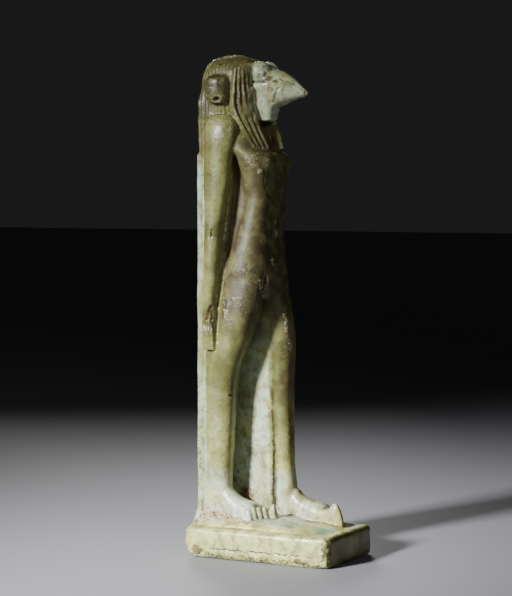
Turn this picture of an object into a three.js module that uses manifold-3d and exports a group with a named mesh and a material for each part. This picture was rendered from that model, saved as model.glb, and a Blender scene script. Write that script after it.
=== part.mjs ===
// A faience amulet of a striding ibis-headed god: a nude-chested man with a bird's head and a long
// striped wig, the left leg forward, the arms at the sides, standing against a back pillar on a low
// plinth. It was pressed in a mould and fired as one body, so the model is one solid.
// Millimetres. +Z is up, the figure looks along -Y, and its left side is +X. The origin is the middle
// of the plinth's underside.

import * as THREE from "three";
import { mergeVertices } from "three/addons/utils/BufferGeometryUtils.js";
import Module from "manifold-3d";

const wasm = await Module();
wasm.setup();

// Driving dimensions

const TOTAL_HEIGHT = 120;

const PLINTH = {
  width: 24.9,
  length: 38.6,
  height: 7.3,
  cornerRound: 1.7,
  edgeRound: 1.0,
  heelRound: 2.6, // the underside is rounded further in at the back end
  mound: 1.0, // the clay swells up around the forward foot by this much
  rearMound: 2.1, // and by this much around the rear foot
};

const PILLAR = {
  width: 14.4,
  depth: 3.0,
  backInset: 0.8, // how far its back face stands in from the plinth's back end
  flareInset: 0.95, // how far its spread foot stays in from the plinth's sides
  flareHeight: 7.5,
  edgeRound: 0.7,
  topStep: 0.5, // how far it stands out behind the wig that it carries
};

const SUSPENSION_LUG = { radius: 2.9, height: 6.6, bore: 0.7 };

const STRAND_COUNT = 4; // locks in each front lappet of the wig
const TOE_COUNT = 5;
const FINGER_COUNT = 4;

// The figure stands on the swelling of the plinth. Its own sizes are shares of its height.
const SOLE_Z = PLINTH.height + PLINTH.mound * 0.8;
const FIGURE_HEIGHT = TOTAL_HEIGHT - SOLE_Z;
const PILLAR_BACK = PLINTH.length / 2 - PILLAR.backInset;
const PILLAR_FRONT = PILLAR_BACK - PILLAR.depth;

// A share of the figure's height, in thousandths, as a length
const share = (thousandths) => (thousandths / 1000) * FIGURE_HEIGHT;
// A height above the soles, in thousandths of the figure
const level = (thousandths) => SOLE_Z + share(thousandths);
// A distance forward of the pillar's front face, in thousandths of the figure, as a Y
const forward = (thousandths) => PILLAR_FRONT - share(thousandths);

// Lofts

// Cubic Hermite value at t of a row table whose first column is the parameter. Slopes are those of
// the neighbours, so the curve passes through each row and has no corners.
function tableAt(rows, t) {
  const last = rows.length - 1;
  let i = 0;
  while (i < last - 1 && t > rows[i + 1][0]) i++;
  const [p, q] = [rows[i], rows[i + 1]];
  const before = rows[Math.max(i - 1, 0)];
  const after = rows[Math.min(i + 2, last)];
  const span = q[0] - p[0];
  const s = Math.min(Math.max((t - p[0]) / span, 0), 1);
  return p.map((value, k) => {
    const slopeIn = ((q[k] - before[k]) / (q[0] - before[0])) * span;
    const slopeOut = ((after[k] - value) / (after[0] - p[0])) * span;
    const s2 = s * s;
    const s3 = s2 * s;
    return (
      (2 * s3 - 3 * s2 + 1) * value +
      (s3 - 2 * s2 + s) * slopeIn +
      (3 * s2 - 2 * s3) * q[k] +
      (s3 - s2) * slopeOut
    );
  });
}

// Closed body through rings of points, one ring per station, with a point in the middle of each end
function skin(rings) {
  const sides = rings[0].length;
  const positions = rings.flat().flatMap((p) => p.toArray());
  const index = [];
  for (let r = 0; r + 1 < rings.length; r++) {
    for (let s = 0; s < sides; s++) {
      const a = r * sides + s;
      const b = r * sides + ((s + 1) % sides);
      index.push(a, b, b + sides, a, b + sides, a + sides);
    }
  }
  for (const [ring, flip] of [[0, true], [rings.length - 1, false]]) {
    const middle = new THREE.Vector3();
    rings[ring].forEach((p) => middle.addScaledVector(p, 1 / sides));
    const tip = positions.length / 3;
    positions.push(...middle.toArray());
    for (let s = 0; s < sides; s++) {
      const a = ring * sides + s;
      const b = ring * sides + ((s + 1) % sides);
      index.push(...(flip ? [b, a, tip] : [a, b, tip]));
    }
  }
  const geometry = new THREE.BufferGeometry();
  geometry.setAttribute("position", new THREE.Float32BufferAttribute(positions, 3));
  geometry.setIndex(index);
  return geometry;
}

// Outlines, as lists of [x, y] about their own middle, counterclockwise from above

// Superellipse: square 2 is an ellipse, 6 is nearly a rectangle
function oval(a, b, square, sides) {
  const power = 2 / square;
  return Array.from({ length: sides }, (_, k) => {
    const c = Math.cos((2 * Math.PI * (k + 0.5)) / sides);
    const s = Math.sin((2 * Math.PI * (k + 0.5)) / sides);
    return [a * Math.sign(c) * Math.abs(c) ** power, b * Math.sign(s) * Math.abs(s) ** power];
  });
}

// Rectangle whose corners are quarter circles
function roundedRectangle(a, b, radius, perCorner = 4) {
  return [0, 1, 2, 3].flatMap((corner) =>
    Array.from({ length: perCorner }, (_, k) => {
      const angle = (Math.PI / 2) * (corner + k / (perCorner - 1));
      const middleX = (corner === 0 || corner === 3 ? 1 : -1) * (a - radius);
      const middleY = (corner < 2 ? 1 : -1) * (b - radius);
      return [middleX + radius * Math.cos(angle), middleY + radius * Math.sin(angle)];
    }),
  );
}

// Upright body. Rows: [z, centre x, centre y, half width in x, half depth in y]
function upright(rows, { sides = 16, steps = 12, square = 2.2 }) {
  const rings = [];
  for (let i = 0; i <= steps; i++) {
    const z = THREE.MathUtils.lerp(rows[0][0], rows.at(-1)[0], i / steps);
    const [, x, y, a, b] = tableAt(rows, z);
    rings.push(oval(a, b, square, sides).map(([u, v]) => new THREE.Vector3(x + u, y + v, z)));
  }
  return solid(skin(rings));
}

// Upright slab with rounded upright edges, one ring per row and straight walls between them.
// Rows: [z, centre x, centre y, half width in x, half depth in y, edge radius]
function slab(rows) {
  return solid(
    skin(
      rows.map(([z, x, y, a, b, radius]) =>
        roundedRectangle(a, b, radius).map(([u, v]) => new THREE.Vector3(x + u, y + v, z)),
      ),
    ),
  );
}

// Body that points forward. Rows, from its back end to its front: [distance along -Y from y0,
// centre x, underside z, half width, top z]
function lengthways(y0, rows, { sides = 14, steps = 10, square = 2.4 }) {
  const rings = [];
  for (let i = 0; i <= steps; i++) {
    const t = THREE.MathUtils.lerp(rows[0][0], rows.at(-1)[0], i / steps);
    const [, x, low, a, top] = tableAt(rows, t);
    const middle = (low + top) / 2;
    rings.push(
      oval(a, (top - low) / 2, square, sides).map(
        ([u, v]) => new THREE.Vector3(x + u, y0 - t, middle + v),
      ),
    );
  }
  return solid(skin(rings));
}

// Band between two edge paths, with parallel rounded ridges on its outer face and a flat back
function ridgedBand(edgeA, edgeB, { ridges, height, depth, outward, steps = 10 }) {
  const [pathA, pathB] = [edgeA, edgeB].map((edge) => new THREE.CatmullRomCurve3(edge));
  const rings = [];
  for (let i = 0; i <= steps; i++) {
    const t = i / steps;
    const start = pathA.getPoint(t);
    const across = pathB.getPoint(t).sub(start);
    const out = new THREE.Vector3().crossVectors(across, pathA.getTangent(t)).normalize();
    if (out.dot(outward) < 0) out.negate();
    const at = (u, rise) => start.clone().addScaledVector(across, u).addScaledVector(out, rise);
    const outer = Array.from({ length: ridges * 3 + 1 }, (_, k) => {
      const u = k / (ridges * 3);
      return at(u, height * Math.abs(Math.sin(Math.PI * ridges * u)));
    });
    rings.push([...outer, at(1, -depth), at(0, -depth)]);
  }
  return solid(skin(rings));
}

// Round cord of the given radius along a path, tapering to its ends
function strand(points, radius, { sides = 8, steps = 12, endShare = 0.6 }) {
  const path = new THREE.CatmullRomCurve3(points);
  const side = new THREE.Vector3();
  const out = new THREE.Vector3();
  const rings = [];
  for (let i = 0; i <= steps; i++) {
    const centre = path.getPoint(i / steps);
    const along = path.getTangent(i / steps);
    side.crossVectors(along, new THREE.Vector3(0, -1, 0)).normalize();
    out.crossVectors(side, along).normalize();
    const r = radius * (i === 0 || i === steps ? endShare : 1);
    rings.push(
      Array.from({ length: sides }, (_, k) => {
        const angle = (-2 * Math.PI * k) / sides;
        return centre
          .clone()
          .addScaledVector(side, r * Math.cos(angle))
          .addScaledVector(out, r * Math.sin(angle));
      }),
    );
  }
  return solid(skin(rings));
}

// Ellipsoid at a point, turned about X by tilt
function ball([x, y, z], [a, b, c], { tilt = 0, around = 12, rows = 8 } = {}) {
  const geometry = new THREE.SphereGeometry(1, around, rows);
  geometry.scale(a, b, c).rotateX(tilt).translate(x, y, z);
  return solid(geometry);
}

// Round rod of the given radius and length, centred on a point, lying along the direction
function rod([x, y, z], radius, length, direction) {
  const geometry = new THREE.CylinderGeometry(radius, radius, length, 12);
  const turn = new THREE.Quaternion().setFromUnitVectors(
    new THREE.Vector3(0, 1, 0),
    new THREE.Vector3(...direction).normalize(),
  );
  geometry.applyQuaternion(turn).translate(x, y, z);
  return solid(geometry);
}

// Joining

function solid(geometry) {
  const bare = geometry.clone();
  bare.deleteAttribute("normal");
  bare.deleteAttribute("uv");
  const merged = mergeVertices(bare, 1e-5);
  const made = new wasm.Manifold(
    new wasm.Mesh({
      numProp: 3,
      vertProperties: new Float32Array(merged.attributes.position.array),
      triVerts: new Uint32Array(merged.index.array),
    }),
  );
  if (made.volume() > 0) return made;
  merged.index.array.reverse();
  return new wasm.Manifold(
    new wasm.Mesh({
      numProp: 3,
      vertProperties: new Float32Array(merged.attributes.position.array),
      triVerts: new Uint32Array(merged.index.array),
    }),
  );
}

const join = (parts) => parts.reduce((whole, part) => whole.add(part));
const bothSides = (make) => [make(-1), make(1)];

function toGeometry(body) {
  const mesh = body.getMesh();
  const geometry = new THREE.BufferGeometry();
  geometry.setAttribute("position", new THREE.Float32BufferAttribute(mesh.vertProperties, 3));
  geometry.setIndex(new THREE.Uint32BufferAttribute(mesh.triVerts, 1));
  geometry.computeVertexNormals();
  return geometry;
}

// Plinth and back pillar

function plinth() {
  const { width, length, height, edgeRound, heelRound } = PLINTH;
  const [a, b] = [width / 2, length / 2];
  const r = PLINTH.cornerRound;
  return slab([
    [0, 0, -heelRound / 2, a - edgeRound, b - (edgeRound + heelRound) / 2, r],
    [edgeRound * 0.35, 0, -heelRound * 0.36, a - edgeRound * 0.35, b - heelRound * 0.38, r],
    [edgeRound, 0, -heelRound * 0.2, a, b - heelRound * 0.2, r],
    [height * 0.42, 0, 0, a, b, r],
    [height - edgeRound, 0, 0, a, b, r],
    [height - edgeRound * 0.35, 0, 0, a - edgeRound * 0.3, b - edgeRound * 0.3, r],
    [height, 0, 0, a - edgeRound, b - edgeRound, r],
  ]);
}

function mound() {
  const { width, length, height, mound: rise, rearMound } = PLINTH;
  const [a, b] = [width / 2, length / 2];
  const front = slab([
    [height - 1, 0, 0.6, a - 1.2, b - 1.6, 2.5],
    [height, 0, 0.6, a - 1.8, b - 2.2, 3],
    [height + rise * 0.6, 0, 0.8, a - 3.6, b - 4.2, 4],
    [height + rise, 0, 1.2, a - 6, b - 7.2, 5],
  ]);
  const backY = b - 1.2;
  const rearRow = (z, inset, reach, radius) => {
    return [z, 0, backY - inset * 0.5 - reach / 2, a - 1.6 - inset, reach / 2, radius];
  };
  const rear = slab([
    rearRow(height - 1, 0, b * 1.45, 3),
    rearRow(height + rearMound * 0.35, 0.7, b * 1.34, 3.4),
    rearRow(height + rearMound * 0.75, 2, b * 1.18, 4),
    rearRow(height + rearMound, 3.8, b, 4.4),
  ]);
  return front.add(rear);
}

function pillar() {
  const { width, depth, flareInset, flareHeight, edgeRound } = PILLAR;
  const flare = (PLINTH.width - width) / 2 - flareInset;
  const y = PILLAR_BACK - depth / 2;
  const row = (z, spread) => [z, 0, y, width / 2 + spread, depth / 2, edgeRound];
  const flared = [0, 0.12, 0.3, 0.55, 1].map((t) =>
    row(PLINTH.height - 0.6 + t * flareHeight, flare * (1 - t) ** 2.6),
  );
  return slab([row(PLINTH.height - 1.6, flare), ...flared, row(level(790), 0)]);
}

// The clay left between the limbs and the pillar: a spine behind the trunk, a slab behind the arms,
// a web that ties the forward leg to the pillar, and the filling behind the other leg

function backing() {
  const spine = slab([
    [level(484), 0, forward(40), share(56), share(52), share(16)],
    [level(640), 0, forward(44), share(50), share(52), share(16)],
    [level(890), 0, forward(44), share(58), share(52), share(16)],
  ]);
  const armSlab = slab([
    [level(372), 0, forward(14), share(70), share(26), share(8)],
    [level(560), 0, forward(18), share(74), share(28), share(8)],
    [level(800), 0, forward(28), share(74), share(38), share(8)],
    [level(850), 0, forward(24), share(58), share(28), share(8)],
  ]);
  const web = slab([
    [PLINTH.height - 1, share(36), forward(56), share(27), share(64), share(6)],
    [level(500), share(36), forward(60), share(29), share(64), share(6)],
  ]);
  const calfFill = upright(
    [
      [PLINTH.height - 1, -share(38), forward(10), share(40), share(24)],
      [level(60), -share(38), forward(8), share(34), share(20)],
      [level(330), -share(38), forward(8), share(35), share(22)],
      [level(376), -share(38), forward(10), share(36), share(24)],
    ],
    { sides: 14, steps: 6, square: 3.5 },
  );
  return join([spine, armSlab, web, calfFill]);
}

// Trunk

function trunk() {
  const rows = [
    [level(480), 0, forward(84), share(56), share(36)],
    [level(490), 0, forward(84), share(70), share(43)],
    [level(508), 0, forward(84), share(79), share(48)],
    [level(540), 0, forward(85), share(85), share(51)],
    [level(576), 0, forward(89), share(83), share(46)],
    [level(632), 0, forward(99), share(72), share(36)],
    [level(684), 0, forward(108), share(65), share(30)],
    [level(728), 0, forward(106), share(71), share(34)],
    [level(766), 0, forward(105), share(81), share(41)],
    [level(787), 0, forward(98), share(84), share(42)],
    [level(802), 0, forward(77), share(84), share(42)],
    [level(836), 0, forward(68), share(74), share(38)],
    [level(860), 0, forward(60), share(46), share(32)],
  ];
  return upright(rows, { sides: 20, steps: 17, square: 2.35 });
}

const chest = () =>
  join(
    bothSides((side) =>
      ball([side * share(34), forward(124), level(768)], [share(34), share(22), share(26)], {
        around: 12,
        rows: 6,
      }),
    ),
  );

const navel = () => rod([-share(7), forward(130), level(619)], share(7), share(22), [0, 1, 0]);

const groinSlot = () =>
  ball([-share(39), forward(122), level(519)], [share(6), share(20), share(19)]);

// Limbs

function leg(side) {
  const right = [
    [level(0), -share(45), forward(22), share(25), share(30)],
    [level(95), -share(46), forward(20), share(24), share(28)],
    [level(180), -share(46), forward(19), share(29), share(34)],
    [level(268), -share(46), forward(22), share(32), share(36)],
    [level(325), -share(46), forward(30), share(34), share(36)],
    [level(380), -share(46), forward(50), share(37), share(38)],
    [level(430), -share(46), forward(66), share(40), share(40)],
    [level(480), -share(45), forward(77), share(41), share(43)],
    [level(540), -share(41), forward(84), share(40), share(44)],
    [level(590), -share(36), forward(88), share(34), share(36)],
  ];
  const left = [
    [level(0), share(44), forward(134), share(24), share(27)],
    [level(60), share(44), forward(134), share(23), share(25)],
    [level(95), share(44), forward(131), share(23), share(24)],
    [level(138), share(44), forward(126), share(25), share(25)],
    [level(182), share(44), forward(121), share(28), share(30)],
    [level(270), share(45), forward(115), share(32), share(35)],
    [level(335), share(45), forward(115), share(33), share(36)],
    [level(376), share(45), forward(114), share(36), share(38)],
    [level(420), share(44), forward(107), share(38), share(42)],
    [level(465), share(43), forward(97), share(40), share(44)],
    [level(540), share(40), forward(88), share(40), share(44)],
    [level(590), share(36), forward(88), share(34), share(36)],
  ];
  return upright(side < 0 ? right : left, { sides: 14, steps: 15, square: 2.5 });
}

// Foot: a wedge that falls from the ankle, and a row of blunt upturned toes. heel is the distance
// of the heel forward of the pillar, rise is the height of the big toe, and tops are the heights of
// the wedge at its stations. tips holds the big toe's reach, how far the next toe falls short of it
// and how much more the little toe does.
const FOOT_STATIONS = [0, 14, 42, 51, 68, 84, 98, 110, 118];
const FOOT_HALF_WIDTHS = [17, 21, 23, 24, 25, 27, 28, 24, 17];

function foot(side, heel, rise, tops, tips) {
  const x = side * share(46);
  const y0 = forward(heel);
  const low = PLINTH.height - 0.5;
  const rows = FOOT_STATIONS.map((t, i) => {
    return [share(t), x + side * share(t / 90), low, share(FOOT_HALF_WIDTHS[i]), level(tops[i])];
  });
  const wedge = lengthways(y0, rows, { sides: 12, steps: 11, square: 2.6 });
  const toes = Array.from({ length: TOE_COUNT }, (_, k) => {
    const t = k / (TOE_COUNT - 1); // 0 is the big toe, next to the body's middle line
    const toeX = x + side * share(-18 + 43 * t ** 0.85);
    const tip = tips[0] - (k === 0 ? 0 : tips[1] + tips[2] * t);
    const half = share(k === 0 ? 9.5 : 6);
    const top = rise * (k === 0 ? 1 : 0.92 - 0.1 * t);
    const toeRows = [
      [share(tip - 44), toeX, low, half * 0.9, level(top * 0.7)],
      [share(tip - 24), toeX, low, half, level(top * 0.8)],
      [share(tip - 11), toeX, low, half, level(top)],
      [share(tip - 3), toeX, low, half * 0.9, level(top * 0.7)],
      [share(tip), toeX, low, half * 0.7, level(top * 0.28)],
    ];
    return lengthways(y0, toeRows, { sides: 8, steps: 5, square: 2.8 });
  });
  return join([wedge, ...toes]);
}

function arm(side) {
  const rows = [
    [level(430), side * share(83), forward(15), share(13), share(14)],
    [level(455), side * share(83), forward(16), share(14), share(12)],
    [level(520), side * share(83), forward(20), share(18), share(16)],
    [level(612), side * share(84), forward(26), share(20), share(18)],
    [level(690), side * share(84), forward(33), share(22), share(25)],
    [level(770), side * share(85), forward(38), share(24), share(31)],
    [level(832), side * share(83), forward(43), share(26), share(37)],
    [level(858), side * share(78), forward(42), share(24), share(31)],
    [level(872), side * share(72), forward(40), share(15), share(17)],
  ];
  return upright(rows, { sides: 12, steps: 12, square: 2.2 });
}

// Hand hanging flat against the thigh, its fingers told apart by shallow grooves
function hand(side) {
  const edge = (y) =>
    [
      [372, 84],
      [384, 89],
      [410, 91],
      [440, 88],
      [462, 82],
    ].map(([z, x]) => new THREE.Vector3(side * share(x), forward(y), level(z)));
  return ridgedBand(edge(1), edge(30), {
    ridges: FINGER_COUNT,
    height: share(4),
    depth: share(20),
    outward: new THREE.Vector3(side, 0, 0),
    steps: 7,
  });
}

// Head: wig, lappets, suspension lugs and the bird's face

function wig() {
  const fallBack = PILLAR_BACK - PILLAR.topStep;
  const fallRow = (z, a, b, inset) => [z, 0, fallBack - b - inset, a, b, share(11)];
  const fall = slab([
    fallRow(level(786), share(66), share(22), 0),
    fallRow(level(850), share(69), share(30), 0),
    fallRow(level(898), share(70), share(38), 0),
    fallRow(level(930), share(66), share(36), share(7)),
    fallRow(level(950), share(58), share(30), share(18)),
  ]);
  const dome = upright(
    [
      [level(794), 0, forward(3), share(63), share(24)],
      [level(850), 0, forward(10), share(70), share(36)],
      [level(884), 0, forward(21), share(72), share(49)],
      [level(925), 0, forward(31), share(74), share(58)],
      [level(948), 0, forward(35), share(72), share(61)],
      [level(974), 0, forward(40), share(64), share(58)],
      [level(990), 0, forward(38), share(47), share(42)],
      [level(1000), 0, forward(34), share(18), share(16)],
    ],
    { sides: 24, steps: 12, square: 3.1 },
  );
  return dome.add(fall);
}

// Front lappet: parallel locks that fall from beside the cheek over the shoulder to the chest.
// Edge points: [distance from the middle line, forward, level]. The left one stands out further.
const LEFT_LAPPET_LEAD = 12;

function lappet(side) {
  const lead = (z) => (side < 0 ? 0 : LEFT_LAPPET_LEAD * THREE.MathUtils.smoothstep(-z, -900, -830));
  const place = ([x, y, z]) => {
    return new THREE.Vector3(side * share(x), forward(y + lead(z)), level(z));
  };
  const outer = [
    [66, 65, 970],
    [74, 64, 931],
    [73, 62, 883],
    [65, 86, 832],
    [61, 104, 800],
  ].map(place);
  const inner = [
    [45, 87, 972],
    [42, 91, 931],
    [31, 100, 883],
    [22, 114, 832],
    [15, 126, 798],
  ].map(place);
  return ridgedBand(outer, inner, {
    ridges: STRAND_COUNT,
    height: share(6),
    depth: share(16),
    outward: new THREE.Vector3(side, -0.8, 0),
    steps: 12,
  });
}

function lug(side) {
  const { radius, height, bore } = SUSPENSION_LUG;
  const x = side * share(78);
  const y = forward(33);
  const top = level(955);
  const body = upright(
    [
      [top - height, x, y, radius * 0.62, radius * 0.6],
      [top - height * 0.8, x, y, radius * 0.95, radius * 0.98],
      [top - height * 0.4, x, y, radius, radius],
      [top - height * 0.12, x, y, radius * 0.9, radius * 0.9],
      [top, x, y, radius * 0.5, radius * 0.5],
    ],
    { sides: 14, steps: 8, square: 2.5 },
  );
  const hole = rod(
    [x + side * radius * 0.45, y, top - height * 0.95],
    bore,
    height * 0.7,
    [-side * 0.25, 0, 1],
  );
  return { body, hole };
}

function face() {
  const skull = ball([0, forward(104), level(954)], [share(36), share(32), share(28)], {
    around: 16,
    rows: 8,
  });
  const brows = bothSides((side) =>
    ball([side * share(20), forward(104), level(961)], [share(18), share(26), share(25.5)], {
      around: 12,
      rows: 8,
    }),
  );
  const eyes = bothSides((side) =>
    ball([side * share(35), forward(115), level(959)], [share(6), share(9), share(8)], {
      around: 8,
      rows: 6,
    }),
  );
  const prop = slab([
    [level(859), 0, forward(107), share(20), share(22), share(4)],
    [level(893), 0, forward(108), share(28), share(26), share(5)],
    [level(925), 0, forward(111), share(34), share(30), share(7)],
    [level(950), 0, forward(111), share(35), share(29), share(8)],
  ]);
  const throat = slab([
    [level(846), 0, forward(70), share(46), share(28), share(4)],
    [level(930), 0, forward(72), share(47), share(28), share(4)],
  ]);
  return join([skull, ...brows, ...eyes, prop, throat]);
}

// The bill is a short wide wedge: its long curved end broke off in antiquity
function bill() {
  const rows = [
    [0, 0, level(893), share(33), level(973)],
    [share(18), 0, level(889), share(31), level(968)],
    [share(44), 0, level(897), share(23), level(957)],
    [share(66), 0, level(905), share(15), level(941)],
    [share(82), 0, level(909), share(9), level(926)],
    [share(91), 0, level(913), share(4.5), level(920)],
  ];
  return lengthways(forward(118), rows, { sides: 16, steps: 10, square: 2.3 });
}

const billGrooves = () =>
  join(
    bothSides((side) =>
      strand(
        [
          new THREE.Vector3(side * share(31), forward(128), level(946)),
          new THREE.Vector3(side * share(27), forward(155), level(940)),
          new THREE.Vector3(side * share(15.5), forward(190), level(925)),
        ],
        share(3.2),
        { sides: 6, steps: 6 },
      ),
    ),
  );

const eyeLines = () =>
  join(
    bothSides((side) =>
      rod([side * share(37), forward(112), level(941)], share(3), share(46), [0, 1, 0]),
    ),
  );

// The whole amulet

function amulet() {
  const lugs = bothSides(lug);
  const massed = join([
    plinth(),
    mound(),
    pillar(),
    backing(),
    trunk(),
    chest(),
    leg(-1),
    leg(1),
    foot(-1, 0, 44, [40, 64, 80, 71, 57, 50, 44, 36, 20], [154, 16, 26]),
    foot(1, 120, 45, [36, 56, 66, 56, 46, 40, 36, 30, 16], [160, 12, 18]),
    ...bothSides(arm),
    ...bothSides(hand),
    wig(),
    ...bothSides(lappet),
    ...lugs.map((l) => l.body),
    face(),
    bill(),
  ]);
  const cuts = [navel(), groinSlot(), billGrooves(), eyeLines(), ...lugs.map((l) => l.hole)];
  return cuts.reduce((whole, cut) => whole.subtract(cut), massed);
}

const glaze = new THREE.MeshStandardMaterial({
  color: new THREE.Color(0.6, 0.63, 0.49),
  roughness: 0.4,
  metalness: 0,
});

const figure = new THREE.Mesh(toGeometry(amulet()), glaze);
figure.name = "faience_amulet";

const group = new THREE.Group();
group.add(figure);

export default group;
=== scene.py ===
import bpy
import numpy as np
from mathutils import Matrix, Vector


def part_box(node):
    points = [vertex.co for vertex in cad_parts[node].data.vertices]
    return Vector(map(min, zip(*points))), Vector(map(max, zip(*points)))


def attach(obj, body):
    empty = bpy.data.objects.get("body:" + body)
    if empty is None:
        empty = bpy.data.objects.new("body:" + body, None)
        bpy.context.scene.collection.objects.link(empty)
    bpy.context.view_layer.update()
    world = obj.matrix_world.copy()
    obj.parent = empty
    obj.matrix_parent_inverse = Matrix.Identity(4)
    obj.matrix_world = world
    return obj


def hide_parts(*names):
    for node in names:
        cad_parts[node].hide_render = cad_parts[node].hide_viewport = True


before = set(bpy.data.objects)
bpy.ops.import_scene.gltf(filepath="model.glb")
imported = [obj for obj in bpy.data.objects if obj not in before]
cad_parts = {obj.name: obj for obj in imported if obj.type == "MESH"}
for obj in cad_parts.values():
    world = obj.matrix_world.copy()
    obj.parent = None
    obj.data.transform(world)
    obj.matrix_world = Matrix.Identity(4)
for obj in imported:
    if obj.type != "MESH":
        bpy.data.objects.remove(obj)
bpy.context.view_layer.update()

# Plinth and back pillar.
# A low faience block with soft worn edges carries the figure, and its top swells up round the feet.
# The pillar rises from its back edge to the wig; it was pressed in the same mould, and its foot
# spreads where it was smoothed down by hand.

MM = 0.001
low_corner, high_corner = (np.array(corner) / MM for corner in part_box("faience_amulet"))
TOTAL_HEIGHT = high_corner[2]
PLINTH_WIDTH = high_corner[0] - low_corner[0]
PLINTH_LENGTH = high_corner[1] - low_corner[1]
PLINTH_HEIGHT = 7.3
EDGE_ROUND = 1.0
HEEL_ROUND = 2.6
CORNER_ROUND = 1.7
PLINTH_SWELL = 1.0
REAR_SWELL = 2.1
SOLE_Z = PLINTH_HEIGHT + 0.8 * PLINTH_SWELL
PILLAR_WIDTH = 14.4
PILLAR_DEPTH = 3.0
PILLAR_BACK = PLINTH_LENGTH / 2 - 0.8
PILLAR_FRONT = PILLAR_BACK - PILLAR_DEPTH
PILLAR_FLARE = (PLINTH_WIDTH - PILLAR_WIDTH) / 2 - 0.95
PILLAR_FLARE_HEIGHT = 7.5
PILLAR_STEP = 0.5

masses = []  # closed skins as (points in millimetres, faces); they are fused further down


def skin(rings):
    """Closed surface through rings of points, an array (ring, point, xyz).

    Each ring is joined to the next by quads, and each end ring to the mean of its points.
    """
    count, sides, _ = rings.shape
    number = np.arange(count * sides).reshape(count, sides)
    onward = np.roll(number, -1, axis=1)
    quads = np.stack([number[:-1], onward[:-1], onward[1:], number[1:]], -1).reshape(-1, 4)
    tips = [count * sides, count * sides + 1]
    points = np.concatenate([rings.reshape(-1, 3), rings[0].mean(0)[None], rings[-1].mean(0)[None]])
    first = np.stack([onward[0], number[0], np.full(sides, tips[0])], -1)
    last = np.stack([number[-1], onward[-1], np.full(sides, tips[1])], -1)
    return points, quads.tolist() + first.tolist() + last.tolist()


def table_at(rows, t):
    """Rows of sizes read at the places t. Each column is a cubic Hermite curve through its rows.

    The slope at a row is the rise between its two neighbours over their distance.
    """
    rows = np.array(rows, float)
    place = rows[:, 0]
    before = np.maximum(np.arange(len(rows)) - 1, 0)
    after = np.minimum(np.arange(len(rows)) + 1, len(rows) - 1)
    slope = (rows[after] - rows[before]) / (place[after] - place[before])[:, None]
    i = np.clip(np.searchsorted(place, t, "right") - 1, 0, len(rows) - 2)
    span = (place[i + 1] - place[i])[:, None]
    s = np.clip((t - place[i])[:, None] / span, 0, 1)
    return (
        (2 * s**3 - 3 * s**2 + 1) * rows[i]
        + (s**3 - 2 * s**2 + s) * slope[i] * span
        + (3 * s**2 - 2 * s**3) * rows[i + 1]
        + (s**3 - s**2) * slope[i + 1] * span
    )


def slab(rows, per_corner=7):
    """Upright slab. Each row is [z, centre x, centre y, half width, half depth, corner radius].

    A ring is four quarter circles of that radius, set in from the corners of its rectangle. Rings
    between the rows are spaced evenly, so that the walls stay straight.
    """
    rows = np.array(rows, float)
    turn = np.linspace(0, np.pi / 2, per_corner)[None] + np.arange(4)[:, None] * np.pi / 2
    sign_x = np.array([1, -1, -1, 1])[:, None]
    sign_y = np.array([1, 1, -1, -1])[:, None]
    rings = [
        np.stack(
            [
                x + sign_x * (a - r) + r * np.cos(turn),
                y + sign_y * (b - r) + r * np.sin(turn),
                np.full(turn.shape, z),
            ],
            -1,
        ).reshape(-1, 3)
        for z, x, y, a, b, r in rows
    ]
    return skin(np.array(rings))


half_w, half_l = PLINTH_WIDTH / 2, PLINTH_LENGTH / 2


def round_row(z, shift, side, end):
    """A row of the plinth, drawn in from its full outline by side and end."""
    return [z, 0, shift, half_w - side, half_l - end, CORNER_ROUND]


masses.append(
    slab(
        [
            round_row(0.0, -HEEL_ROUND / 2, EDGE_ROUND, (EDGE_ROUND + HEEL_ROUND) / 2),
            round_row(0.35, -HEEL_ROUND * 0.36, EDGE_ROUND * 0.35, HEEL_ROUND * 0.38),
            round_row(1.0, -HEEL_ROUND * 0.2, 0, HEEL_ROUND * 0.2),
            round_row(PLINTH_HEIGHT * 0.42, 0, 0, 0),
            round_row(PLINTH_HEIGHT - EDGE_ROUND, 0, 0, 0),
            round_row(PLINTH_HEIGHT - EDGE_ROUND * 0.35, 0, EDGE_ROUND * 0.3, EDGE_ROUND * 0.3),
            round_row(PLINTH_HEIGHT, 0, EDGE_ROUND, EDGE_ROUND),
        ]
    )
)
masses.append(
    slab(
        [
            [PLINTH_HEIGHT - 1.0, 0, 0.6, half_w - 1.2, half_l - 1.6, 2.5],
            [PLINTH_HEIGHT, 0, 0.6, half_w - 1.8, half_l - 2.2, 3.0],
            [PLINTH_HEIGHT + 0.6, 0, 0.8, half_w - 3.6, half_l - 4.2, 4.0],
            [PLINTH_HEIGHT + PLINTH_SWELL, 0, 1.2, half_w - 6.0, half_l - 7.2, 5.0],
        ]
    )
)
rear_rows = [
    [-1.0, 0, 1.45, 3.0],
    [REAR_SWELL * 0.35, 0.7, 1.34, 3.4],
    [REAR_SWELL * 0.75, 2.0, 1.18, 4.0],
    [REAR_SWELL, 3.8, 1.0, 4.4],
]
masses.append(
    slab(
        [
            [
                PLINTH_HEIGHT + rise,
                0,
                half_l - 1.2 - inset * 0.5 - reach * half_l / 2,
                half_w - 1.6 - inset,
                reach * half_l / 2,
                corner,
            ]
            for rise, inset, reach, corner in rear_rows
        ]
    )
)


def share(thousandths):
    """A share of the figure's height, in thousandths, as millimetres."""
    return thousandths / 1000 * (TOTAL_HEIGHT - SOLE_Z)


def level(thousandths):
    """The height above the floor of a level on the figure, the soles at 0 and the crown at 1000."""
    return SOLE_Z + share(thousandths)


def forward(thousandths):
    """The y of a place that far in front of the pillar's face."""
    return PILLAR_FRONT - share(thousandths)


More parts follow.
